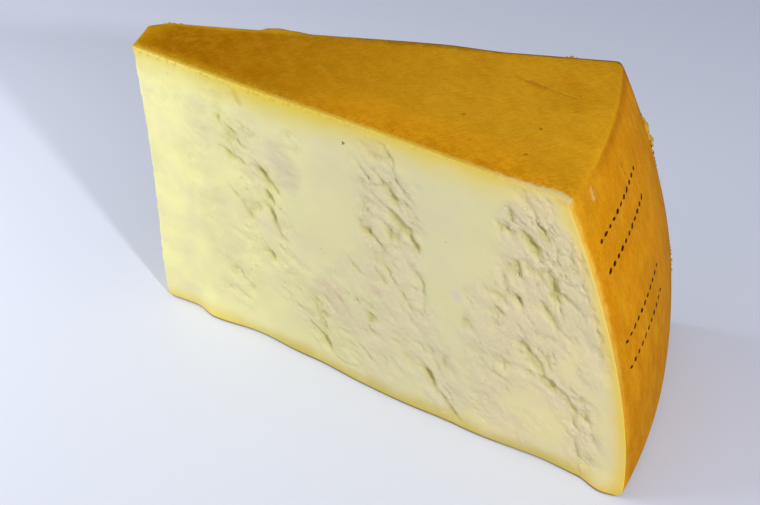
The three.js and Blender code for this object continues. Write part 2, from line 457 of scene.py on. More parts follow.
# %% Flakes and cracks, which lie down towards the rind
FLAKE_SLANT = math.radians(-52)
FLAKE_STRETCH = 1.7
FLAKE_STEPS = 4.5
FLAKE_EDGE = 0.2  # share of a step that its cliff takes
CRACK_SHARPNESS = 0.13


def slanted(x, z):
    """Distances down the slant, shortened so that patterns stretch that way, and across it."""
    down = (x * math.cos(FLAKE_SLANT) + z * math.sin(FLAKE_SLANT)) / FLAKE_STRETCH
    return down, z * math.cos(FLAKE_SLANT) - x * math.sin(FLAKE_SLANT)


def flakes(down, over, size, layer):
    """Terraces from about -1 to 1 with ragged edges."""
    ragged = 0.4 * size * gradient_noise(down, over, 0.5 * size, layer + 1)
    field = FLAKE_STEPS * rough_noise(down + ragged, over + ragged, size, layer)
    step = np.floor(field)
    return (step + smooth(0.5 - FLAKE_EDGE, 0.5 + FLAKE_EDGE, field - step)) / FLAKE_STEPS


def cracks(down, over, size, layer):
    """1 in the middle of a thin wandering crack, 0 between the cracks."""
    ragged = 0.3 * size * gradient_noise(down, over, 0.4 * size, layer + 1)
    field = np.abs(gradient_noise(down + ragged, over + ragged, size, layer))
    return 1 - smooth(0, CRACK_SHARPNESS, field)


show_range("flakes", flakes(TRIAL, 0 * TRIAL, 7.0, 20))


# %% All the fine relief of a cut
EDGE_CALM = 3.0  # torn paste dies out this far from the cut's edges
FINE_SINK = 0.2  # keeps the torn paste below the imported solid's surface
FINE_TOP = 0.3  # no crumb stands out further than this

# Layers of noise, as (height, size, layer).
BAND_WANDER = [(5, 12, 5)]
RAGGED_ALONG = [(0.7, 3.1, 1), (0.25, 1.1, 2)]
RAGGED_UP = [(0.7, 3.3, 3), (0.25, 1.2, 4)]
ALL_OVER = [(0.3, 16, 7), (0.05, 4, 8)]
TORN_SWELLS = [(0.4, 5, 13), (0.8, 9, 14)]

FLAKE_HEIGHT, ROUGH_HEIGHT, FOLD_HEIGHT, GRAIN_HEIGHT, CRACK_DEPTH = 0.5, 0.65, 0.45, 0.4, 0.3
FLAKE_SIZE, ROUGH_SIZE, FOLD_SIZE, GRAIN_SIZE, CRACK_SIZE = 7.0, 3.6, 5.5, 3.2, 6.5
GRAIN_START = 0.35  # how torn a patch is before its grains show


def grain_lumps(x, z, patch):
    """Rounded grains where the patch is strong, some higher than others."""
    lumps = np.zeros(x.shape)
    busy = patch > GRAIN_START
    inside, own = grains(1.15 * x[busy], z[busy], GRAIN_SIZE, 9)
    shaped = 0.5 * (own - 0.5) + 0.4 * smooth(0, 0.5, inside) - 0.3
    lumps[busy] = GRAIN_HEIGHT * smooth(GRAIN_START, 0.9, patch[busy]) * shaped
    return lumps


def fine_relief(x, z, cut):
    """Flakes, grains and ledges of a cut, and how torn and how hollow it is at each point."""
    ragged_x, ragged_z = x + waves(x, z, RAGGED_ALONG), z + waves(x, z, RAGGED_UP)
    calm = smooth(0, EDGE_CALM, HEIGHT - z) * smooth(0, 0.6 * EDGE_CALM, z)
    calm = calm * smooth(0, EDGE_CALM, side_radius(z) - x) * smooth(0, EDGE_CALM, x - TIP_RADIUS)
    wander = waves(x, z, BAND_WANDER)
    torn = torn_share(x + wander, z + wander, cut["torn"])
    patch = torn**0.6 * (0.5 + 0.5 * smooth(-0.35, 0.25, gradient_noise(x, z, 6, 6)))

    relief = waves(x, z, ALL_OVER) + patch * waves(x, z, TORN_SWELLS)
    down, over = slanted(x, z)
    relief += patch * FLAKE_HEIGHT * flakes(down, over, FLAKE_SIZE, 20)
    relief += patch * ROUGH_HEIGHT * rough_noise(down, over, ROUGH_SIZE, 11)
    relief += smooth(0.05, 0.5, torn) * FOLD_HEIGHT * gradient_noise(0.6 * down, over, FOLD_SIZE, 15)
    some = smooth(-0.1, 0.3, gradient_noise(x, z, 5, 12))
    relief -= patch * CRACK_DEPTH * cracks(down, over, CRACK_SIZE, 30) * some
    relief += grain_lumps(ragged_x, ragged_z, patch)

    for depth, reach, stroke in cut["ledges"]:
        (left, right), (low, high) = ((min(side), max(side)) for side in zip(*stroke))
        margin = reach + 3
        near = (x > left - margin) & (x < right + margin) & (z > low - margin) & (z < high + margin)
        relief[near] += ledge_relief(ragged_x[near], ragged_z[near], LEDGE_SCALE * depth, reach, stroke)
    relief = np.minimum(relief, FINE_TOP) * calm - FINE_SINK * torn * calm
    return relief, torn * calm, np.maximum(-relief - FINE_SINK, 0)


trial_relief, trial_torn, _ = fine_relief(TRIAL, 0 * TRIAL + HEIGHT / 2, FRONT)
show_range("fine relief of the front cut half way up, mm", trial_relief)
show_range("how torn it is there", trial_torn)


# %% [markdown]
# ## The mesh
#
# The front cut carries the most detail, so it needs steps of about half a millimetre. If the whole piece
# had them it would be far too heavy. The box lattice below is counted in half steps: the front takes
# every one, the other faces take every second one, and the faces along the front's border take the extra
# vertex in as a fifth corner. That keeps the mesh closed with no cracks.

# %% A box lattice with a finer front
TIP, SIDE, FACE_FRONT, FACE_BACK, BASE, TOP = (0, 0), (0, 1), (1, 0), (1, 1), (2, 0), (2, 1)
ALL_FACES = (TIP, SIDE, FACE_FRONT, FACE_BACK, BASE, TOP)


def box_lattice(steps, faces, fine=()):
    """Lattice points and polygons of a box's faces. steps are coarse steps along, across and up."""
    size = [2 * n for n in steps]
    index, polygons = {}, []
    for axis, high in faces:
        u, v = (axis + 1) % 3, (axis + 2) % 3
        step = 1 if (axis, high) in fine else 2
        for a in range(0, size[u], step):
            for b in range(0, size[v], step):
                ring = []
                for da, db in ((0, 0), (step, 0), (step, step), (0, step)):
                    place = [0, 0, 0]
                    place[axis], place[u], place[v] = size[axis] * high, a + da, b + db
                    ring.append(tuple(place))
                if not high:
                    ring.reverse()
                ring = with_middles(ring, step, size, fine)
                polygons.append([index.setdefault(place, len(index)) for place in ring])
    return np.array(list(index), float) / size, polygons


def with_middles(ring, step, size, fine):
    """A coarse ring of corners, with the extra vertex of each edge that it shares with a fine face."""
    if step == 1:
        return ring
    full = []
    for here, there in zip(ring, ring[1:] + ring[:1]):
        full.append(here)
        for axis, high in fine:
            if here[axis] == there[axis] == size[axis] * high:
                full.append(tuple((p + q) // 2 for p, q in zip(here, there)))
    return full


print("a box of 2 by 2 by 2 steps has", len(box_lattice((2, 2, 2), ALL_FACES)[1]), "polygons")


# %% The crumbled tip
TIP_TEAR = 0.7  # the broken end is uneven by this much, inwards
TIP_TEAR_REACH = 3.0
TIP_LUMPS, TIP_FLAKES = 7.0, 4.0  # how large its lumps and flakes are


def tip_relief(points, radius, across, z):
    """How far the broken end has crumbled in at each point."""
    near_tip = 1 - smooth(0, TIP_TEAR_REACH, radius - tip_radius(across, z))
    calm = near_tip * smooth(0, 4, HEIGHT - z) * smooth(0, 1.5, z)
    crumbled = np.zeros(len(points))
    near = calm > 0
    y, z = points[near, 1], z[near]
    uneven = rough_noise(y, z, TIP_LUMPS, 40) + 0.5 * flakes(y, z, TIP_FLAKES, 41)
    crumbled[near] = TIP_TEAR * np.clip(0.35 + 0.6 * uneven, 0, 1) * calm[near]
    return crumbled


show_range("noise of the tip's lumps", rough_noise(0 * TRIAL, TRIAL, TIP_LUMPS, 40))

# %% From the lattice to points in space
SKIN_SINK = 0.2  # how deep the paste lies under the rind
BACK_OUT = np.array([-math.sin(WEDGE_ANGLE), math.cos(WEDGE_ANGLE), 0.0])
FRONT_OUT = np.array([0.0, -1.0, 0.0])
INWARD = round_axis(1.0, WEDGE_ANGLE / 2, [0.0])  # from the tip towards the rind
TOP_SWAY = 0.3
TOP_SWAY_OUT, TOP_SWAY_ACROSS = 17, 21  # millimetres for each radian
BACK["lip"] = [[38, 0], [73.5, 0.5], [75.5, 2.1], [79, 2.6], [84, 1.6], [90, 0.4], [130, 1.4],
               [152, -0.5], [180, -1.0], [215, 0]]
LIP_HEIGHT = 3.0


def wedge_points(lattice, crowding, sunk):
    """Points in wheel millimetres for lattice places, with what later steps need to know about them."""
    along, across, up = (spread(lattice[:, k], crowding[k]) for k in range(3))
    radius, across, z = wedge_places(along, across, up, sunk)
    angle = WEDGE_ANGLE * across
    points = round_axis(radius, angle, z)
    torn, hollow = np.zeros(len(points)), np.zeros(len(points))
    for cut, out, inside in ((FRONT, FRONT_OUT, across), (BACK, BACK_OUT, 1 - across)):
        share = np.maximum(1 - inside / CUT_BLEND, 0)
        near = share > 0
        share, x, height = share[near], radius[near], z[near]
        relief, tears, depths = fine_relief(x, height, cut)
        relief = relief + slow_relief(x, height, cut)
        if "lip" in cut:
            relief = relief + through(cut["lip"], x) * np.exp(-(HEIGHT - height) / LIP_HEIGHT)
        points[near] += (share * relief)[:, None] * out
        torn[near] = np.maximum(torn[near], tears * share)
        hollow[near] = np.maximum(hollow[near], depths * share)
    points += tip_relief(points, radius, across, z)[:, None] * INWARD
    swayed = np.sin(radius / TOP_SWAY_OUT) * np.cos(points[:, 1] / TOP_SWAY_ACROSS)
    points[:, 2] += TOP_SWAY * up**6 * swayed
    facts = {"to_top": HEIGHT - z, "to_side": side_radius(z) - radius, "to_base": z,
             "to_cut": angle * radius, "torn": torn, "hollow": hollow}
    return points, facts


def linked(name, data):
    """A new object of that name in the scene."""
    thing = bpy.data.objects.new(name, data)
    bpy.context.scene.collection.objects.link(thing)
    return thing


def new_mesh_object(name, points, polygons, facts):
    """A smooth shaded object in the part's frame, with a named attribute for each fact."""
    mesh = bpy.data.meshes.new(name)
    mesh.from_pydata(to_part(points), [], polygons)
    mesh.polygons.foreach_set("use_smooth", np.ones(len(mesh.polygons), bool))
    for fact, values in facts.items():
        mesh.attributes.new(fact, "FLOAT", "POINT").data.foreach_set("value", values.astype(np.float32))
    return linked(name, mesh)


# %% The paste body
PASTE_STEPS = (165, 22, 96)
PASTE_CROWDING = (0.35, 0.6, 0.35)

lattice, polygons = box_lattice(PASTE_STEPS, ALL_FACES, fine=(FACE_FRONT,))
open_faces = (lattice[:, 1] == 0) | (lattice[:, 1] == 1) | (lattice[:, 0] == 0)
paste_points, paste_facts = wedge_points(lattice, PASTE_CROWDING, np.where(open_faces, 0.0, SKIN_SINK))
paste = new_mesh_object("cheese_paste", paste_points, polygons, paste_facts)
print(f"paste: {len(paste_points)} points, {sum(len(ring) - 2 for ring in polygons)} triangles")

# %% The rind
RIND_STEPS = (110, 32, 64)
RIND_CROWDING = (0.35, 0.35, 0.35)
RIND_THICK = 0.5
RIND_PROUD = 0.12

lattice, polygons = box_lattice(RIND_STEPS, (SIDE, TOP, BASE))
rind_points, rind_facts = wedge_points(lattice, RIND_CROWDING, 0.0)
rind = new_mesh_object("cheese_rind", rind_points, polygons, rind_facts)
normals = np.zeros(len(rind.data.vertices) * 3)
rind.data.vertices.foreach_get("normal", normals)
lift = RIND_PROUD * smooth(0.5, 4, rind_points[:, 2])
lifted = rind_points + normals.reshape(-1, 3) * lift[:, None]
rind.data.vertices.foreach_set("co", to_part(lifted).ravel())
shell = rind.modifiers.new("thickness", "SOLIDIFY")
shell.thickness = RIND_THICK * MM
shell.offset = -1
print(f"rind: {len(rind_points)} points")

# %% [markdown]
# ## Paint
#
# The cast foam is one pale colour all through, so every difference of colour is paint: a cream ground
# with faint pink and green clouds, a golden margin sprayed along the rind, a wash in the hollows, and
# thick brushed ochre on the rind. Some of the colours are painted shade and painted highlight. Image
# textures would tie the finish to one size and one view. Instead each habit of the painter is a small
# shader node group that gives a mask, and the materials only choose colours for the masks.


# %% A bench for wiring nodes
def paint(red, green, blue):
    """A screen colour, 0 to 255, as the linear colour that sockets hold."""
    linear = [v / 255 / 12.92 if v <= 10 else ((v / 255 + 0.055) / 1.055) ** 2.4 for v in (red, green, blue)]
    return (*linear, 1.0)


class Bench:
    """A node tree in the making, with short ways to add the nodes that paints and scatters need."""

    def __init__(self, tree):
        self.tree = tree

    def send(self, value, socket):
        self.tree.links.new(value, socket)

    def node(self, kind, feed=None, **settings):
        """Adds a node. feed gives its inputs, by name or number, as plain values or as outputs."""
        made = self.tree.nodes.new(kind)
        for name, value in settings.items():
            setattr(made, name, value)
        for key, value in (feed or {}).items():
            if isinstance(value, bpy.types.NodeSocket):
                self.send(value, made.inputs[key])
            else:
                made.inputs[key].default_value = value
        return made

    def calc(self, operation, *values):
        return self.node("ShaderNodeMath", dict(enumerate(values)), operation=operation).outputs[0]

    def times(self, value, *others):
        for other in others:
            value = self.calc("MULTIPLY", value, other)
        return value

    def vector_calc(self, operation, *values, output=0):
        """Vector maths on one or two vectors. The second value of SCALE is a plain number."""
        places = (0, 3) if operation == "SCALE" else (0, 1)
        feed = dict(zip(places, values))
        return self.node("ShaderNodeVectorMath", feed, operation=operation).outputs[output]

    def scaled(self, vector, *factors):
        return self.vector_calc("MULTIPLY", vector, factors)

    def ramp(self, value, low, high, start=0.0, end=1.0):
        """start where value is low, end where it is high, with an even S between them."""
        feed = dict(enumerate((value, low, high, start, end)))
        return self.node("ShaderNodeMapRange", feed, interpolation_type="SMOOTHSTEP").outputs[0]

    def fade(self, value, low, high):
        return self.ramp(value, low, high, 1.0, 0.0)

    def between(self, share, first, second):
        """first where share is 0, second where it is 1. Both are values."""
        return self.node("ShaderNodeMix", {0: share, 2: first, 3: second}, data_type="FLOAT").outputs[0]

    def blend(self, share, *colours):
        """The same for two colours, each a socket or a screen colour."""
        first, second = (c if isinstance(c, bpy.types.NodeSocket) else paint(*c) for c in colours)
        return self.node("ShaderNodeMix", {0: share, 6: first, 7: second}, data_type="RGBA").outputs[2]

    def noise(self, vector, scale, detail=2.0, rough=0.5):
        feed = {"Vector": vector, "Scale": scale, "Detail": detail, "Roughness": rough}
        return self.node("ShaderNodeTexNoise", feed).outputs[0]

    def drift(self, vector, scale, swing, detail=2.0):
        """Noise about zero, which makes a border wander."""
        return self.times(self.calc("SUBTRACT", self.noise(vector, scale, detail), 0.5), swing)

    def use(self, group, **feed):
        """The outputs of a shader group, which is given as its own bench."""
        return self.node("ShaderNodeGroup", feed, node_tree=group.tree).outputs


# %% An empty shader group
def new_group(name, inputs, outputs):
    """An empty shader group's bench, its inputs and its outputs. Inputs without a value are vectors."""
    tree = bpy.data.node_groups.new(name, "ShaderNodeTree")
    for label, value in inputs.items():
        kind = "NodeSocketVector" if value is None else "NodeSocketFloat"
        socket = tree.interface.new_socket(label, in_out="INPUT", socket_type=kind)
        if value is not None:
            socket.default_value = value
    for label in outputs:
        tree.interface.new_socket(label, in_out="OUTPUT", socket_type="NodeSocketFloat")
    print("group:", name)
    return Bench(tree), tree.nodes.new("NodeGroupInput").outputs, tree.nodes.new("NodeGroupOutput").inputs


# %% Clouds of a second colour
clouds, given, out = new_group(
    "soft clouds", {"Vector": None, "Size": 10.0, "Cover": 0.5, "Blur": 0.12}, ["Mask"])
field = clouds.noise(given["Vector"], clouds.calc("DIVIDE", 1.0, given["Size"]), detail=3.0)
middle = clouds.calc("SUBTRACT", 1.0, given["Cover"])
low, high = (clouds.calc(way, middle, given["Blur"]) for way in ("SUBTRACT", "ADD"))
clouds.send(clouds.ramp(field, low, high), out["Mask"])

# %% A sprayed margin along an edge
margin, given, out = new_group(
    "sprayed margin", {"Vector": None, "Distance": 0.0, "Width": 5.0, "Wander": 2.0}, ["Mask"])
wander = margin.drift(given["Vector"], 0.11, given["Wander"], detail=3.0)
moved = margin.calc("ADD", given["Distance"], wander)
margin.send(margin.fade(moved, 0.0, given["Width"]), out["Mask"])

# %% Brush marks, which run along the vector's X
brush, given, out = new_group(
    "brush marks", {"Vector": None, "Length": 8.0, "Width": 0.8}, ["Mask", "Height"])
split = brush.node("ShaderNodeSeparateXYZ", {0: given["Vector"]}).outputs
wobbly = brush.calc("ADD", split[1], brush.drift(given["Vector"], 0.09, 5.0))
shares = [brush.calc("DIVIDE", value, given[size])
          for value, size in ((split[0], "Length"), (wobbly, "Width"), (split[2], "Width"))]
stroke = brush.node("ShaderNodeCombineXYZ", dict(enumerate(shares))).outputs[0]
fine = brush.noise(stroke, 1.0, detail=3.0, rough=0.65)
broad = brush.noise(brush.scaled(stroke, 0.7, 0.16, 0.16), 1.0, detail=3.0)
brush.send(brush.ramp(brush.between(0.5, fine, broad), 0.38, 0.62), out["Mask"])
brush.send(fine, out["Height"])

# %% One smudge or scratch: a soft stroke from a start to an end
smudge, given, out = new_group(
    "one smudge", {"Vector": None, "Start": None, "End": None, "Width": 1.0, "Softness": 1.0}, ["Mask"])
noisy = smudge.node("ShaderNodeTexNoise", {"Vector": given["Vector"], "Scale": 0.7}).outputs["Color"]
shaken = smudge.scaled(smudge.vector_calc("SUBTRACT", noisy, (0.5, 0.5, 0.5)), 1.6, 1.6, 1.6)
moved = smudge.vector_calc("ADD", given["Vector"], shaken)
from_start = smudge.vector_calc("SUBTRACT", moved, given["Start"])
whole = smudge.vector_calc("SUBTRACT", given["End"], given["Start"])
dots = (smudge.vector_calc("DOT_PRODUCT", vector, whole, output=1) for vector in (from_start, whole))
run = smudge.node("ShaderNodeClamp", {0: smudge.calc("DIVIDE", *dots)}).outputs[0]
distance = smudge.vector_calc("DISTANCE", from_start, smudge.vector_calc("SCALE", whole, run), output=1)
half = smudge.times(given["Width"], 0.5)
smudge.send(smudge.fade(distance, half, smudge.calc("ADD", half, given["Softness"])), out["Mask"])

# %% Fine grain and pores of the casting
grain, given, out = new_group(
    "casting grain", {"Vector": None, "Grain": 0.8, "Spacing": 5.0}, ["Height", "Pores"])
bumps = grain.noise(given["Vector"], grain.calc("DIVIDE", 1.0, given["Grain"]), detail=3.0, rough=0.6)
feed = {"Vector": given["Vector"], "Scale": grain.calc("DIVIDE", 1.0, given["Spacing"])}
cells = grain.node("ShaderNodeTexVoronoi", feed).outputs
chosen = grain.ramp(grain.node("ShaderNodeSeparateColor", {0: cells["Color"]}).outputs[0], 0.78, 0.8)
pores = grain.times(grain.fade(cells["Distance"], 0.03, 0.07), chosen)
grain.send(pores, out["Pores"])
grain.send(grain.calc("SUBTRACT", bumps, pores), out["Height"])


# %% A paint job on a material
class PaintJob(Bench):
    """A material in the making. place is in wheel millimetres, and colour is what is painted so far."""

    coats = 0

    def __init__(self, name, gloss, roughness=0.5):
        self.material = bpy.data.materials.new(name)
        self.material.use_nodes = True
        super().__init__(self.material.node_tree)
        self.shader = self.tree.nodes["Principled BSDF"].inputs
        self.shader["Roughness"].default_value = roughness
        self.shader["Specular IOR Level"].default_value = gloss
        coordinates = self.node("ShaderNodeTexCoord").outputs["Object"]
        to_wheel = {"Vector": coordinates, "Scale": (1 / MM, 1 / MM, 1 / MM), "Location": tuple(-WHEEL_AXIS)}
        self.place = self.node("ShaderNodeMapping", to_wheel).outputs[0]
        self.x, self.y, self.z = self.node("ShaderNodeSeparateXYZ", {0: self.place}).outputs

    def fact(self, name):
        """A value that the mesh carries at each point."""
        return self.node("ShaderNodeAttribute", attribute_name=name).outputs["Fac"]

    def turned(self, *degrees):
        """This material's place, turned about X, Y and Z."""
        feed = {"Vector": self.place, "Rotation": [math.radians(angle) for angle in degrees]}
        return self.node("ShaderNodeMapping", feed).outputs[0]

    def mask(self, group, vector=None, **feed):
        """The mask of a group, at this material's place if no other vector is given."""
        return self.use(group, Vector=self.place if vector is None else vector, **feed)["Mask"]

    def coat(self, share, tint, *weights):
        """Lays a tint over what is painted so far. The share and the weights say how thickly."""
        self.colour = self.blend(self.times(share, *weights), self.colour, tint)
        self.coats += 1

    def spot(self, start, end, width, softness, strength, tint):
        """One smudge or scratch between two places in wheel millimetres."""
        self.coat(self.mask(smudge, Start=start, End=end, Width=width, Softness=softness), tint, strength)

    def finish(self, roughness=None, height=None, depth=0.0):
        """Wires the colour and, where they vary, the roughness and a bump of that depth in millimetres."""
        self.send(self.colour, self.shader["Base Color"])
        if height is not None:
            self.send(roughness, self.shader["Roughness"])
            bump = self.node("ShaderNodeBump", {"Height": height, "Distance": depth * MM, "Strength": 1.0})
            self.send(bump.outputs[0], self.shader["Normal"])
        print(f"{self.material.name}, coats over the ground colour: {self.coats}")
        return self.material


# %% [markdown]
# ### The paste
#
# The ground is cream. It turns yellower towards the tip, where the spray was heavier, and carries faint
# clouds. The hollows are olive: painted shade, with a thin wash that ran into them. Along the rind there
# is a golden margin, soft on the inside, and the very foot has a dark brown line of painted contact shadow
# and brown paint. A picture could carry all this, but the mesh knows its own distance to each edge and
# how torn it is, so masks that read those values stay where they belong.

# %% Ground and clouds of the paste
job = PaintJob("painted paste", gloss=0.4)
flipped = job.scaled(job.place, 1, 1, -1)
ground = job.blend(job.ramp(job.x, 145, 185), (227, 217, 162), (240, 222, 160))
job.colour = job.blend(job.fade(job.x, 38, 128), ground, (255, 248, 168))
job.coat(job.mask(clouds, Size=15.0, Cover=0.45, Blur=0.2), (224, 205, 172), 0.45)
job.coat(job.mask(clouds, flipped, Size=19.0, Cover=0.45, Blur=0.2), (218, 212, 150), 0.4)

# %% Warmer torn paste, and painted shade with a wash in its hollows
torn, hollow = job.fact("torn"), job.fact("hollow")
job.coat(job.ramp(torn, 0.2, 0.8), (230, 210, 178), job.ramp(job.x, 100, 150), 0.4)
mottled = job.ramp(job.noise(job.place, 0.45, detail=4.0, rough=0.7), 0.42, 0.62)
job.coat(mottled, (208, 200, 140), job.ramp(torn, 0.1, 0.6), job.ramp(job.x, 130, 170, 0.05, 0.2))
# painted shade: the hollows turn olive, darker where they are deeper, as shade together with a thin wash
job.coat(job.ramp(hollow, 0.2, 1.1), (202, 194, 104), 0.55)
job.coat(job.ramp(hollow, 0.8, 1.7), (176, 154, 56), 0.5)

# %% Golden margins: wide and narrow under the top rind, then beside the side's rind, then along the base
to_top, to_side, to_base = (job.fact(name) for name in ("to_top", "to_side", "to_base"))
edge = job.mask(margin, Distance=to_top, Width=13.0, Wander=5.0)
edge = job.times(edge, job.ramp(job.x, 58, 80, 0.6, 1.0), job.ramp(job.x, 100, 125, 1.0, 0.75))
gold = job.blend(job.ramp(job.x, 100, 135), (224, 198, 26), (238, 206, 54))
job.coat(edge, gold, job.ramp(job.x, 160, 178, 1.0, 0.35), 0.8)
edge = job.mask(margin, Distance=to_top, Width=4.5, Wander=2.5)
gold = job.blend(job.ramp(job.x, 50, 110), (240, 214, 70), (230, 198, 40))
job.coat(edge, gold, job.ramp(job.x, 160, 178, 0.6, 0.2))
edge = job.mask(margin, Distance=to_side, Width=6.5, Wander=3.5)
job.coat(edge, (240, 206, 76), job.ramp(job.z, 35, 90, 1.0, 0.7))
edge = job.mask(margin, Distance=to_base, Width=7.5, Wander=5.0)
gold = job.blend(job.ramp(job.x, 60, 100), (238, 212, 84), (200, 176, 44))
job.coat(edge, job.blend(job.ramp(job.x, 195, 208), gold, (226, 190, 60)), 0.8)

# %% Rind paint that ran over the paste's edge, and the dark foot line of painted contact shadow and brown paint
job.coat(job.fade(to_top, 0.3, 3.0), (224, 156, 52), job.fade(to_side, 0.5, 5.0), 0.4)
overlap = job.fade(job.calc("ADD", to_top, job.drift(job.place, 0.7, 3.6, detail=4.0)), 0.0, 0.7)
job.coat(overlap, (208, 164, 36), job.ramp(job.x, 50, 120, 0.1, 0.35))
specks = job.ramp(job.noise(flipped, 0.7), 0.52, 0.6)
job.coat(specks, (200, 164, 28), job.fade(to_top, 0.4, 3.0), job.ramp(job.x, 80, 150, 0.5, 0.1))
# painted contact shadow and brown paint: a dark brown line along the very foot
job.coat(job.fade(to_base, 0.5, 1.2), (112, 72, 8), 0.85)

# %% Pores and single spots of the paste: (start, end, width, softness, strength, colour)
PASTE_SPOTS = [
    ((115.9, 0, 97.4), (116.0, 0, 97.0), 0.6, 0.4, 0.8, (60, 60, 50)),
    ((154.0, 0, 57.0), (154.4, 0, 55.5), 0.4, 2.6, 0.35, (206, 188, 206)),
    ((92.0, 0, 86.0), (95.5, 0, 76.0), 4.0, 5.0, 0.35, (206, 186, 166)),
    ((109.0, 0, 38.0), (114.0, 0, 29.0), 4.0, 5.0, 0.3, (216, 188, 160)),
    ((126.5, 0, 46.0), (127.5, 0, 44.5), 1.0, 2.5, 0.35, (220, 184, 160)),
    # the last spot is painted shade beside the ledge just under the top edge
    ((78.2, 0, 101.5), (79.6, 0, 98.6), 0.5, 1.6, 0.4, (190, 164, 60)),
]
surface = job.use(grain, Vector=job.place, Grain=1.1, Spacing=6.0)
job.coat(surface["Pores"], (170, 160, 100), 0.35)
for spot in PASTE_SPOTS:
    job.spot(*spot)
print(len(PASTE_SPOTS), "spots on the paste")

# %% The paste's surface, which is rougher where it is torn
roughness = job.calc("ADD", job.times(torn, 0.08), 0.46)
crumbly = job.times(job.noise(job.place, 0.6, detail=5.0, rough=0.7), torn, 5.5)
paste.data.materials.append(job.finish(roughness, job.calc("ADD", surface["Height"], crumbly), depth=0.09))

# %% [markdown]
# ### The rind
#
# The rind was painted with a stiff brush: roughly along the wedge on top, and up and down on the side.
# The paint is browner over the tip and more orange near the front edge. Along the ridge there is a
# painted highlight, and there is painted shade under it, along the back edge and towards the far side.
# The marks could be cut into the mesh, but they are far finer than its faces, so stretched noise gives
# their colour and a bump their height.

# %% Ground of the rind, and where its colour shifts
job = PaintJob("brushed rind", gloss=0.003)
to_top, to_cut = job.fact("to_top"), job.fact("to_cut")
on_side = job.ramp(to_top, 0.9, 2.2)
on_top = job.calc("SUBTRACT", 1.0, on_side)
job.colour = job.blend(job.fade(job.x, 55, 150), (220, 160, 28), (162, 104, 2))
job.coat(job.fade(job.y, 3, 20), (240, 162, 20), job.ramp(job.x, 90, 130), 0.75)
job.coat(on_side, (226, 148, 14))
# painted highlight: a lighter band along the rounded ridge between the top and the side
ridge_highlight = job.fade(job.calc("MAXIMUM", to_top, job.fact("to_side")), 1, 17)
ridge_highlight = job.times(ridge_highlight, job.ramp(job.y, 20, 45, 1.0, 0.4), job.between(on_side, 1.0, job.fade(job.y, 6, 22)))
job.coat(ridge_highlight, (238, 172, 32), 0.9)
# painted shade: a darker band on the side just under the ridge, where a crease lies in shade
crease_shade = job.times(job.ramp(to_top, 1.2, 2.2), job.fade(to_top, 2.4, 6.0))
job.coat(crease_shade, (160, 94, 0), job.ramp(job.y, 12, 34), 0.7)
# painted shade: the rind turns darker towards the back, at its far edge
job.coat(job.ramp(job.y, 48, 78, 0.0, 0.45), (164, 100, 0))
job.coat(job.ramp(job.z, 10, 75, 0.5, 0.0), (170, 112, 8), on_side)

# %% Painted shade along the back edge, a painted highlight at the tip's end, lighter along the tip's edges, and clouds
from_back = job.vector_calc("DOT_PRODUCT", job.place, tuple(-BACK_OUT), output=1)
# painted shade along the back edge, fading out towards the tip
uneven = job.calc("ADD", from_back, job.drift(job.place, 0.5, 4.0, detail=4.0))
job.coat(job.ramp(uneven, 0.0, 2.6, 0.7, 0.0), (128, 90, 8), job.ramp(job.x, 55, 90))
job.coat(job.mask(clouds, Size=14.0, Cover=0.45, Blur=0.2), (182, 120, 2), 0.35)
rust = job.mask(clouds, job.scaled(job.place, -1, 1, 1), Size=9.0, Cover=0.36, Blur=0.12)
job.coat(rust, (206, 126, 4), 0.3)
# painted highlight along the rind's edge at the tip's end, broken up by the rust clouds
job.coat(job.ramp(job.calc("ADD", job.x, job.times(rust, 3.0)), 38, 47, 0.6, 0.0), (196, 154, 12))
to_edge = job.calc("MINIMUM", to_cut, job.times(from_back, 2.0))
job.coat(job.ramp(to_edge, 0.0, 5.0, 0.6, 0.0), (220, 176, 34), job.fade(job.x, 60, 115))

# %% Brush marks on the rind
top_way, side_way = job.turned(0, 0, -60), job.turned(0, 90, 0)
top_marks = job.use(brush, Vector=top_way, Length=2.6, Width=1.1)
side_marks = job.use(brush, Vector=side_way, Length=14.0, Width=0.8)
marks, ridges = (job.between(on_side, top_marks[name], side_marks[name]) for name in ("Mask", "Height"))
job.coat(marks, (232, 168, 34), job.between(on_side, 0.25, 0.4))
crinkled = job.mask(brush, job.scaled(top_way, 1, -1, 1), Length=1.6, Width=0.8)
job.coat(crinkled, (184, 114, 6), job.ramp(job.y, 0, 12, 0.55, 0.25), on_top)
streaked = job.mask(brush, job.scaled(side_way, -1, 1, 1), Length=6.0, Width=0.7)
job.coat(streaked, (184, 108, 4), on_side, job.ramp(job.z, 20, 70, 0.6, 0.4))

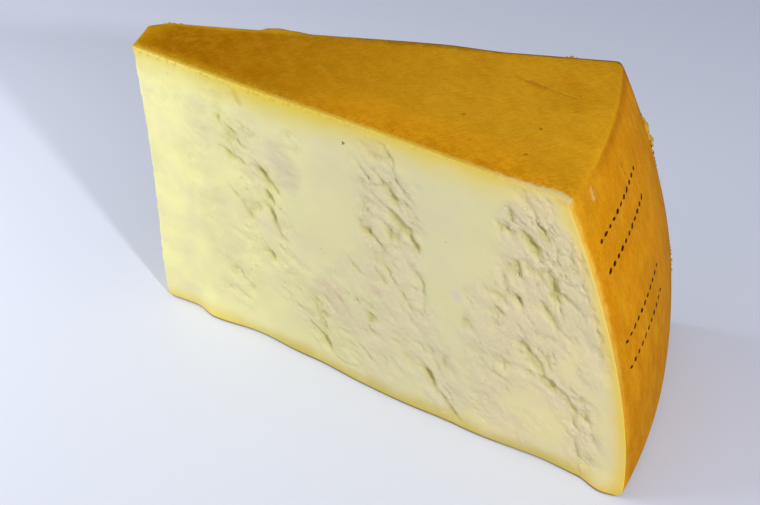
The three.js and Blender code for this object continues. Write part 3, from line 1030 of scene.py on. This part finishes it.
# %% Pores, the dark foot line (painted contact shadow and brown paint) and single spots of the rind: (start, end, width, softness, strength, colour)
RIND_SPOTS = [
    ((153.0, 44.4, 105), (157.0, 43.6, 105), 0.6, 2.0, 0.4, (188, 100, 20)),
    # the next two are a crease: a dark line of painted shade and a pale line of painted highlight
    ((148.0, 44.8, 105), (169.0, 43.0, 105), 0.1, 0.5, 0.4, (160, 96, 8)),
    ((150.0, 45.6, 105), (168.0, 43.8, 105), 0.1, 0.5, 0.25, (236, 180, 70)),
    ((143.1, 19.7, 105), (143.4, 19.9, 105), 0.5, 0.5, 0.6, (130, 84, 8)),
    ((164.9, 24.9, 105), (165.2, 24.6, 105), 0.5, 0.5, 0.6, (130, 84, 8)),
    ((166.3, 12.4, 105), (166.6, 12.2, 105), 0.3, 0.5, 0.6, (130, 84, 8)),
    ((150.0, 10.0, 105), (150.4, 10.1, 105), 0.3, 0.5, 0.5, (150, 80, 8)),
    # a pale fleck, and beside it a dark line that is its painted shade
    ((185.7, 12.6, 100.6), (186.7, 12.2, 98.8), 1.0, 1.1, 0.5, (246, 192, 120)),
    ((185.5, 13.4, 101.0), (186.6, 12.9, 98.6), 0.15, 0.5, 0.6, (130, 66, 8)),
    # the next two are a crease: a dark line of painted shade and a pale line of painted highlight
    ((185.4, 34.3, 95.6), (192.4, 40.8, 77.0), 0.2, 0.5, 0.4, (150, 84, 0)),
    ((185.4, 33.3, 95.6), (192.4, 39.8, 77.0), 0.2, 0.5, 0.35, (240, 180, 60)),
]
surface = job.use(grain, Vector=job.place, Grain=0.7, Spacing=7.0)
job.coat(surface["Pores"], (120, 70, 0), 0.6)
# painted contact shadow and brown paint: a dark brown line along the very foot
job.coat(job.fade(job.fact("to_base"), 1.0, 2.6), (104, 70, 18), 0.7)
for spot in RIND_SPOTS:
    job.spot(*spot)
print(len(RIND_SPOTS), "spots on the rind")

# %% Where the cut bared the rind's rim
rim = job.calc("ADD", to_cut, job.drift(job.place, 0.9, 2.0, detail=3.0))
specks = job.ramp(job.noise(job.scaled(job.place, 1, -1, 1), 1.0), 0.56, 0.62)
job.coat(specks, (222, 184, 40), job.fade(to_cut, 0.5, 4.5), job.ramp(job.x, 80, 150, 0.45, 0.1))
job.coat(job.fade(rim, 0.2, 1.6), (208, 162, 34), on_top, 0.7)
bare = job.fade(job.calc("SUBTRACT", rim, job.ramp(job.x, 162, 184, 0.9, 2.6)), -0.8, 0.8)
job.coat(bare, job.blend(job.ramp(job.x, 150, 172), (210, 178, 66), (226, 202, 128)), on_top)
wide = job.fade(job.calc("ADD", rim, job.drift(job.place, 0.25, 4.0)), 0.0, 3.2)
job.coat(wide, (244, 202, 84), on_side, job.ramp(job.z, 30, 85, 0.15, 0.75))

# %% The rind's surface, which follows the brush marks
relief = job.calc("ADD", ridges, job.times(surface["Height"], 0.35))
rind.data.materials.append(job.finish(job.ramp(ridges, 0.3, 0.7, 0.44, 0.56), relief, depth=0.35))


# %% Ink, crumbs and flash: one colour with clouds of another
def cloudy(name, gloss, first, second, strength=1.0, **feed):
    """A finished material in one colour, with clouds of a second one."""
    job = PaintJob(name, gloss)
    job.colour = first
    job.coat(job.mask(clouds, **feed), second, strength)
    return job.finish()


ink = cloudy("pricked ink", 0.02, (70, 28, 4), (112, 56, 8), 0.6, Size=1.6, Cover=0.35, Blur=0.2)
crumb_paint = cloudy("crumb paint", 0.4, (226, 216, 172), (222, 208, 160), Size=6.0, Cover=0.5, Blur=0.2)
flash_paint = cloudy("flash paint", 0.1, (208, 162, 54), (140, 102, 20), Size=2.5, Cover=0.45, Blur=0.15)

# %% [markdown]
# ## Things that repeat
#
# Three small things repeat: the ink dots pricked into the side in plain level rows, the crumbs that still
# cling to the torn paste, and the flecks of casting flash along the back edges. Each is one Geometry
# Nodes tree that puts a tiny shape on points of a line or a face. Copying objects in Python would do the
# same, but a tree keeps the spacing and the size as named inputs that can be changed later. The result is
# turned into a plain mesh.


# %% A tree that scatters a small shape
class Scatter(Bench):
    """A Geometry Nodes tree that puts a small shape on points. It is given its sizes, a seed and a paint."""

    def __init__(self, name, *sizes):
        super().__init__(bpy.data.node_groups.new(name, "GeometryNodeTree"))
        kinds = {"Geometry": "Geometry", **dict.fromkeys(sizes, "Float"), "Seed": "Int", "Paint": "Material"}
        for label, kind in kinds.items():
            self.tree.interface.new_socket(label, in_out="INPUT", socket_type="NodeSocket" + kind)
        self.tree.interface.new_socket("Geometry", in_out="OUTPUT", socket_type="NodeSocketGeometry")
        self.given = self.tree.nodes.new("NodeGroupInput").outputs

    def attribute(self, name, kind="FLOAT_VECTOR"):
        return self.node("GeometryNodeInputNamedAttribute", {"Name": name}, data_type=kind).outputs[0]

    def chance(self, low, high, seed):
        """A vector that differs from shape to shape."""
        feed = {0: low, 1: high, "Seed": seed}
        return self.node("FunctionNodeRandomValue", feed, data_type="FLOAT_VECTOR").outputs[0]

    def ball(self, radius, subdivisions):
        feed = {"Radius": radius, "Subdivisions": subdivisions}
        return self.node("GeometryNodeMeshIcoSphere", feed).outputs[0]

    def stops(self):
        """Points along the given lines, and how a shape is turned there: Z outwards and X along the line."""
        curve = self.node("GeometryNodeMeshToCurve", {0: self.given["Geometry"]}).outputs[0]
        feed = {"Curve": curve, "Length": self.given["Spacing"]}
        points = self.node("GeometryNodeCurveToPoints", feed, mode="LENGTH").outputs
        align = "FunctionNodeAlignRotationToVector"
        flat = self.node(align, {"Vector": self.attribute("outward")}, axis="Z").outputs[0]
        feed = {"Rotation": flat, "Vector": points["Tangent"]}
        return points["Points"], self.node(align, feed, axis="X", pivot_axis="Z").outputs[0]

    def scatter(self, points, shape, rotation, scale, nudge, seed):
        """The shape on each point as real mesh, turned by up to the nudge either way."""
        feed = {"Points": points, "Instance": shape, "Rotation": rotation, "Scale": scale}
        feed = {"Instances": self.node("GeometryNodeInstanceOnPoints", feed).outputs[0], "Local Space": True,
                "Rotation": self.chance([-angle for angle in nudge], nudge, seed)}
        spots = self.node("GeometryNodeRotateInstances", feed).outputs[0]
        return self.node("GeometryNodeRealizeInstances", {0: spots}).outputs[0]

    def finish(self, real):
        """Ends the tree with smooth shading and the paint."""
        real = self.node("GeometryNodeSetShadeSmooth", {"Geometry": real}).outputs[0]
        feed = {"Geometry": real, "Material": self.given["Paint"]}
        painted = self.node("GeometryNodeSetMaterial", feed).outputs[0]
        self.send(painted, self.tree.nodes.new("NodeGroupOutput").inputs[0])


# %% Growing a piece
def grown(name, mesh, scatter, **values):
    """A new object: what the scatter makes from the mesh, as a plain mesh."""
    thing = linked(name, mesh)
    modifier = thing.modifiers.new("grow", "NODES")
    modifier.node_group = scatter.tree
    for item in scatter.tree.interface.items_tree:
        if item.in_out == "INPUT" and item.name in values:
            modifier[item.identifier] = values[item.name]
    evaluated = thing.evaluated_get(bpy.context.evaluated_depsgraph_get())
    plain = bpy.data.meshes.new_from_object(evaluated)
    thing.modifiers.clear()
    thing.data = plain
    print(f"{name}: {len(plain.polygons)} faces")
    return thing


def line_mesh(name, lines, **facts):
    """Open lines as a mesh, in the part's frame. Each fact holds the vectors of each line's points."""
    edges, start = [], 0
    for line in lines:
        edges += [(start + i, start + i + 1) for i in range(len(line) - 1)]
        start += len(line)
    mesh = bpy.data.meshes.new(name)
    mesh.from_pydata(to_part(np.concatenate(lines)), edges, [])
    for fact, vectors in facts.items():
        made = mesh.attributes.new(fact, "FLOAT_VECTOR", "POINT")
        made.data.foreach_set("vector", np.concatenate(vectors).astype(np.float32).ravel())
    return mesh


# %% [markdown]
# ### Rows of ink dots
#
# A wheel's side is pricked all round while it is young, and here the pricks are beads of brown ink. They
# could be painted in the rind's material, but they stand up a little and catch the low light. So each is
# a flattened ball on a level line, and the line carries the side's outward direction, which turns them.

# %% Rows of ink dots
ROW_HEIGHTS = (88.0, 79.0, 56.0, 47.0)
ROW_START, ROW_END = 9.0, 44.0  # along the side from the front cut
ROW_STEPS = 24
DOT_SEAT = 0.8  # how high the dots' middles sit, as a share of how far the rind stands proud

pricks = Scatter("pricked rows", "Spacing", "Length", "Width", "Height")
stops, facing = pricks.stops()
sizes = {k: pricks.given[name] for k, name in enumerate(("Length", "Width", "Height"))}
sizes = pricks.node("ShaderNodeCombineXYZ", sizes).outputs[0]
vary = pricks.chance((0.75, 0.75, 0.9), (1.25, 1.25, 1.1), pricks.given["Seed"])
next_seed = pricks.calc("ADD", pricks.given["Seed"], 1.0)
pricks.finish(pricks.scatter(stops, pricks.ball(0.5, 2), facing, pricks.vector_calc("MULTIPLY", vary, sizes),
                             (0, 0, 0.45), next_seed))


def side_row(z):
    """A level line on the side's paint, and the side's outward direction at each of its points."""
    radius = side_radius(z) + DOT_SEAT * RIND_PROUD
    angles = np.linspace(ROW_START, ROW_END, ROW_STEPS) / radius
    outs = round_axis(1.0, angles, (side_radius(z - 1) - side_radius(z + 1)) / 2)
    return round_axis(radius, angles, z), outs / np.linalg.norm(outs, axis=1)[:, None]


lines, outs = zip(*(side_row(z) for z in ROW_HEIGHTS))
dots = grown("ink_dots", line_mesh("ink rows", lines, outward=outs), pricks, Spacing=3.4 * MM,
             Length=2.1 * MM, Width=1.25 * MM, Height=0.35 * MM, Seed=5, Paint=ink)

# %% [markdown]
# ### Clinging crumbs
#
# Splitting the cheese leaves crumbs hanging in the torn bands. More noise in the mesh could stand for
# them, but a crumb overhangs its own foot, and a surface that is only pushed in and out can't do that. So
# they are small lumps of their own, and the mesh's torn value says how thickly they lie.

# %% Crumbs that cling to the torn paste
CRUMB_DENSITY = 60000.0  # for each square metre of fully torn paste
TORN_ONLY = 2.5  # the power that keeps crumbs off paste that is hardly torn
LUMP_SCALE, LUMP_SHIFT = 900.0, 0.6 * MM

crumbling = Scatter("clinging crumbs", "Density", "Smallest", "Largest")
given = crumbling.given
tears = crumbling.calc("POWER", crumbling.attribute("torn", "FLOAT"), TORN_ONLY)
density = crumbling.times(tears, given["Density"])
stops = crumbling.node("GeometryNodeDistributePointsOnFaces",
                       {"Mesh": given["Geometry"], "Density": density, "Seed": given["Seed"]},
                       distribute_method="RANDOM").outputs
size = crumbling.node("FunctionNodeRandomValue", {2: given["Smallest"], 3: given["Largest"], "Seed": 3},
                      data_type="FLOAT").outputs[1]
stretch = crumbling.chance((0.8, 0.6, 0.45), (1.5, 1.1, 0.8), 4)
real = crumbling.scatter(stops["Points"], crumbling.ball(0.5, 1), stops["Rotation"],
                         crumbling.vector_calc("SCALE", stretch, size), (0.3, 0.3, 3.1), 6)
lumpy = crumbling.node("ShaderNodeTexNoise", {"Scale": LUMP_SCALE, "Detail": 1.0}).outputs["Color"]
shift = crumbling.vector_calc("SUBTRACT", lumpy, (0.5, 0.5, 0.5))
shift = crumbling.vector_calc("SCALE", shift, LUMP_SHIFT)
crumbling.finish(crumbling.node("GeometryNodeSetPosition", {"Geometry": real, "Offset": shift}).outputs[0])

crumbs = grown("clinging_crumbs", paste.data.copy(), crumbling, Density=CRUMB_DENSITY,
               Smallest=0.4 * MM, Largest=1.0 * MM, Seed=12, Paint=crumb_paint)

# %% [markdown]
# ### Casting flash
#
# A little foam seeps out where the halves of the mould meet, and its thin flecks were left on the back
# edges. They could be modelled one by one. A line that also carries their size gives the same uneven row
# with a few numbers, swelling in the middle of a stretch and dying out at its ends.

# %% Flecks of casting flash along the back edges
ON_SIDE = 0.0  # stands for the rind side's own radius
TOP_EDGE = HEIGHT - 0.3

# Stretches of an edge, as (start, end, size of the flecks). An end is its radius and height.
FLASH = [
    ((ON_SIDE, 86), (ON_SIDE, 75), 1.7), ((ON_SIDE, 75), (ON_SIDE, 66), 0.6),
    ((ON_SIDE, 37), (ON_SIDE, 20), 0.7),
    ((43, TOP_EDGE), (51, TOP_EDGE), 0.75), ((168, TOP_EDGE), (171, TOP_EDGE), 0.7),
]
FLASH_STEPS = 12
FLECK = np.array([1.6, 0.5, 1.0]) * MM  # along the edge, across it and outwards, for a size of 1

flecks = Scatter("casting flash", "Spacing")
stops, facing = flecks.stops()
vary = flecks.chance((0.5, 0.5, 0.4), (1.2, 1.3, 1.3), flecks.given["Seed"])
reach = flecks.vector_calc("MULTIPLY", vary, flecks.attribute("reach"))
flecks.finish(flecks.scatter(stops, flecks.ball(1.0, 2), facing, reach, (0.5, 0.5, 0.6), 8))


def flash_line(start, end, size):
    """A line along a back edge, its outward directions, and how large the flecks on it are."""
    share = np.linspace(0, 1, FLASH_STEPS)[:, None]
    radius, z = (np.array(start) + share * (np.array(end) - np.array(start))).T
    if start[0] == ON_SIDE:
        radius = side_radius(z)
    swell = 0.35 + 0.65 * np.sin(np.pi * share)
    return round_axis(radius, WEDGE_ANGLE, z), np.tile(BACK_OUT, (FLASH_STEPS, 1)), FLECK * size * swell


lines, outs, reaches = zip(*(flash_line(*stretch) for stretch in FLASH))
flash = grown("casting_flash", line_mesh("flash lines", lines, outward=outs, reach=reaches), flecks,
              Spacing=1.5 * MM, Seed=2, Paint=flash_paint)

# %% [markdown]
# ## Studio
#
# A low lamp on the rind side rakes over the front cut, so its ledges show, and its shadow falls behind
# the tip. A wide soft box on the other side lifts the tip. The floor is a plain pale sheet.

# %% Camera
LENS, SENSOR_WIDTH = 53.86, 36.0
EYE = (259.0, -217.6, 288.2)
TARGET = (128.14, 0.0, 61.57)

camera_data = bpy.data.cameras.new("camera")
camera_data.lens, camera_data.sensor_width = LENS, SENSOR_WIDTH
camera = linked("camera", camera_data)
eye, target = (Vector(to_part(place)) for place in (EYE, TARGET))
camera.location = eye
camera.rotation_euler = (target - eye).to_track_quat("-Z", "Y").to_euler()
bpy.context.scene.camera = camera
print(f"camera {(target - eye).length / MM:.0f} mm from the chunk")


# %% Lamps and room
def square_lamp(name, place, size, power):
    """A square lamp that looks at the chunk from a place in wheel millimetres."""
    data = bpy.data.lights.new(name, "AREA")
    data.size, data.energy = size * MM, power
    lamp = linked(name, data)
    lamp.location = to_part(place)
    lamp.rotation_euler = (lamp.location - target).to_track_quat("Z", "Y").to_euler()
    print(f"{name}: {power} W")


square_lamp("raking lamp", (662, -266, 427), 40, 2.7)
square_lamp("soft box", (-195, -130, 235), 280, 0.95)

ROOM_COLOUR, ROOM_STRENGTH = (0.80, 0.86, 1.0, 1), 0.385

world = bpy.data.worlds.new("studio")
bpy.context.scene.world = world
world.use_nodes = True
room = world.node_tree.nodes["Background"].inputs
room["Color"].default_value, room["Strength"].default_value = ROOM_COLOUR, ROOM_STRENGTH

# %% Floor
FLOOR_HALF = 3.0  # in metres
FLOOR_COLOUR = (0.755, 0.782, 0.88, 1)

floor_mesh = bpy.data.meshes.new("floor")
corners = [(x * FLOOR_HALF, y * FLOOR_HALF, 0) for x, y in ((-1, -1), (1, -1), (1, 1), (-1, 1))]
floor_mesh.from_pydata(corners, [], [(0, 1, 2, 3)])
floor = linked("floor", floor_mesh)
floor_paint = PaintJob("floor sheet", gloss=0.2, roughness=0.7)
floor_paint.shader["Base Color"].default_value = FLOOR_COLOUR
floor_mesh.materials.append(floor_paint.material)
bpy.context.scene.view_settings.view_transform = "Standard"
print("floor:", 2 * FLOOR_HALF, "m across")

# %% [markdown]
# ## Onto the part's body
#
# Every piece rides on the part's one body. The paste stands for the whole imported solid, and the
# others lie on it.

# %% Each piece rides on the part's body, and the imported solid is hidden
for piece, slot in ((paste, "paste"), (rind, "rind"), (dots, "ink"), (crumbs, "paste"), (flash, "rind")):
    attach(piece, "root")
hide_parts("cheese_wedge")
